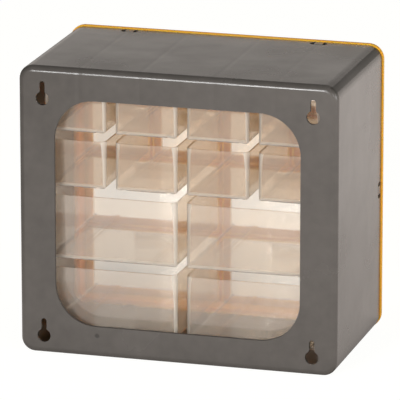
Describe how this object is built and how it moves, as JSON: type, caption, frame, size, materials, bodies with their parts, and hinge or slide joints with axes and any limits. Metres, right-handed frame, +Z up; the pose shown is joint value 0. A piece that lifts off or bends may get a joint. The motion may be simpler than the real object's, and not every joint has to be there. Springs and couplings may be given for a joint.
{
  "type": "parts bin cabinet",
  "caption": "Benchtop or wall-hung cabinet of clear drawers for small parts, with a snap-in front frame, a rear window and keyholes",
  "frame": {"origin": "on the floor under the middle of the whole cabinet, pulls included", "axes": "+Z up; the drawers open towards -Y and the back face with its keyholes faces +Y; +X is to the right seen from the front"},
  "size_m": [0.252, 0.1516, 0.227],
  "materials": {
    "casing_grey": "moulded, fine satin",
    "frame_yellow": "moulded, smooth",
    "drawer_clear": "clear moulded, polished"
  },
  "bodies": {
    "cabinet": {"casing": "casing_grey", "front_frame": "frame_yellow"},
    "small_drawer_row1_col1": {"small_drawer_row1_col1": "drawer_clear"},
    "small_drawer_row1_col2": {"small_drawer_row1_col2": "drawer_clear"},
    "small_drawer_row1_col3": {"small_drawer_row1_col3": "drawer_clear"},
    "small_drawer_row1_col4": {"small_drawer_row1_col4": "drawer_clear"},
    "small_drawer_row2_col1": {"small_drawer_row2_col1": "drawer_clear"},
    "small_drawer_row2_col2": {"small_drawer_row2_col2": "drawer_clear"},
    "small_drawer_row2_col3": {"small_drawer_row2_col3": "drawer_clear"},
    "small_drawer_row2_col4": {"small_drawer_row2_col4": "drawer_clear"},
    "large_drawer_row3_left": {"large_drawer_row3_left": "drawer_clear"},
    "large_drawer_row3_right": {"large_drawer_row3_right": "drawer_clear"},
    "large_drawer_row4_left": {"large_drawer_row4_left": "drawer_clear"},
    "large_drawer_row4_right": {"large_drawer_row4_right": "drawer_clear"}
  },
  "joints": [
    {"name": "small_drawer_row1_col1_slide", "type": "slide", "parent": "cabinet", "child": "small_drawer_row1_col1", "axis": [0, -1, 0], "range_m": [0, 0.105]},
    {"name": "small_drawer_row1_col2_slide", "type": "slide", "parent": "cabinet", "child": "small_drawer_row1_col2", "axis": [0, -1, 0], "range_m": [0, 0.105]},
    {"name": "small_drawer_row1_col3_slide", "type": "slide", "parent": "cabinet", "child": "small_drawer_row1_col3", "axis": [0, -1, 0], "range_m": [0, 0.105]},
    {"name": "small_drawer_row1_col4_slide", "type": "slide", "parent": "cabinet", "child": "small_drawer_row1_col4", "axis": [0, -1, 0], "range_m": [0, 0.105]},
    {"name": "small_drawer_row2_col1_slide", "type": "slide", "parent": "cabinet", "child": "small_drawer_row2_col1", "axis": [0, -1, 0], "range_m": [0, 0.105]},
    {"name": "small_drawer_row2_col2_slide", "type": "slide", "parent": "cabinet", "child": "small_drawer_row2_col2", "axis": [0, -1, 0], "range_m": [0, 0.105]},
    {"name": "small_drawer_row2_col3_slide", "type": "slide", "parent": "cabinet", "child": "small_drawer_row2_col3", "axis": [0, -1, 0], "range_m": [0, 0.105]},
    {"name": "small_drawer_row2_col4_slide", "type": "slide", "parent": "cabinet", "child": "small_drawer_row2_col4", "axis": [0, -1, 0], "range_m": [0, 0.105]},
    {"name": "large_drawer_row3_left_slide", "type": "slide", "parent": "cabinet", "child": "large_drawer_row3_left", "axis": [0, -1, 0], "range_m": [0, 0.105]},
    {"name": "large_drawer_row3_right_slide", "type": "slide", "parent": "cabinet", "child": "large_drawer_row3_right", "axis": [0, -1, 0], "range_m": [0, 0.105]},
    {"name": "large_drawer_row4_left_slide", "type": "slide", "parent": "cabinet", "child": "large_drawer_row4_left", "axis": [0, -1, 0], "range_m": [0, 0.105]},
    {"name": "large_drawer_row4_right_slide", "type": "slide", "parent": "cabinet", "child": "large_drawer_row4_right", "axis": [0, -1, 0], "range_m": [0, 0.105]}
  ]
}
